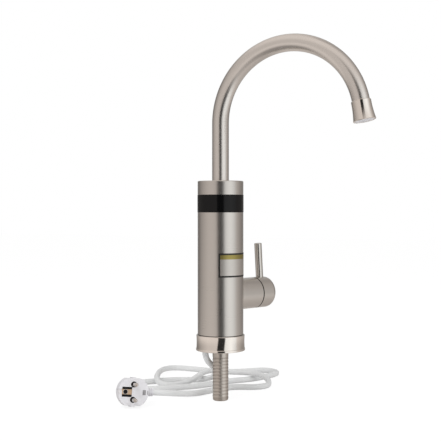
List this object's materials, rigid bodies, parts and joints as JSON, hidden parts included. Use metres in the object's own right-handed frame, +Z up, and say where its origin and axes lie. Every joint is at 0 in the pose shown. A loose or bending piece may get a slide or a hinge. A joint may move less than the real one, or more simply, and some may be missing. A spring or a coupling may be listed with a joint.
{
  "type": "electric instant water heater tap",
  "caption": "Upright tap with a built-in electric water heater: cylinder body, gooseneck spout, side lever valve, threaded shank and a mains lead with plug.",
  "frame": {"origin": "centre of the foot's underside, on the worktop", "axes": "+Z up along the body, +X the way the spout reaches at rest"},
  "size_m": [0.383, 0.3256, 0.4711],
  "materials": {
    "brushed_steel": "brushed nickel, fine lines round the axis",
    "polished_steel": "smoother, nearly polished nickel",
    "screw_steel": "bright, cut thread",
    "element_steel": "matt",
    "pin_metal": "nickel plated",
    "brass": "machined",
    "black_gloss": "glossy",
    "black_plastic": "matt",
    "grey_plastic": "matt",
    "white_plastic": "satin",
    "white_cord": "matt sheath",
    "black_rubber": "matt",
    "board_green": "lacquered board",
    "ceramic": "lapped ceramic"
  },
  "bodies": {
    "body": {"base_flange": "polished_steel", "deck_seal": "black_rubber", "base_plate": "grey_plastic", "base_screws": "screw_steel", "threaded_shank": "screw_steel", "shank_nut": "brass", "cord_gland": "white_plastic", "inner_frame": "grey_plastic", "body_shell": "brushed_steel", "display_ring": "black_gloss", "top_cap": "brushed_steel", "inlet_pipe": "brass", "inlet_seal": "black_rubber", "valve_manifold": "brass", "port_seals": "black_rubber", "flow_sensor": "black_plastic", "heating_chamber": "grey_plastic", "chamber_lid": "grey_plastic", "lid_seal": "black_rubber", "lid_screws": "screw_steel", "heating_element": "element_steel", "element_nuts": "brass", "thermal_cutout": "black_plastic", "temperature_probe": "brass", "lead_wires": "white_plastic", "display_bracket": "grey_plastic", "display_board": "board_green", "display_module": "black_gloss", "valve_stub": "brushed_steel", "valve_cartridge": "brass", "cartridge_nut": "brass", "fixed_disc": "ceramic", "spout_nut": "brass", "swivel_washer": "white_plastic", "plug_body": "white_plastic", "plug_pins": "pin_metal", "plug_earth_contacts": "brass", "power_cord": "white_cord"},
    "spout": {"spout_tube": "brushed_steel", "spout_stem": "brass", "spout_seals": "black_rubber", "aerator_housing": "polished_steel", "aerator_seal": "black_rubber", "aerator_insert": "white_plastic"},
    "lever": {"handle_cap": "brushed_steel", "lever_rod": "brushed_steel", "handle_grub_screw": "screw_steel", "valve_spindle": "brass", "turning_disc": "ceramic"},
    "piston": {"flow_piston": "grey_plastic"}
  },
  "joints": [
    {"name": "spout_swivel", "type": "hinge", "parent": "body", "child": "spout", "pos_m": [0, 0, 0.21], "axis": [0, 0, 1], "continuous": true},
    {"name": "lever_turn", "type": "hinge", "parent": "body", "child": "lever", "pos_m": [0, 0, 0.0715], "axis": [0.3173, 0.9483, 0], "range_deg": [-90, 90]},
    {"name": "piston_lift", "type": "slide", "parent": "body", "child": "piston", "axis": [0, 0, 1], "range_m": [0, 0.005]}
  ]
}
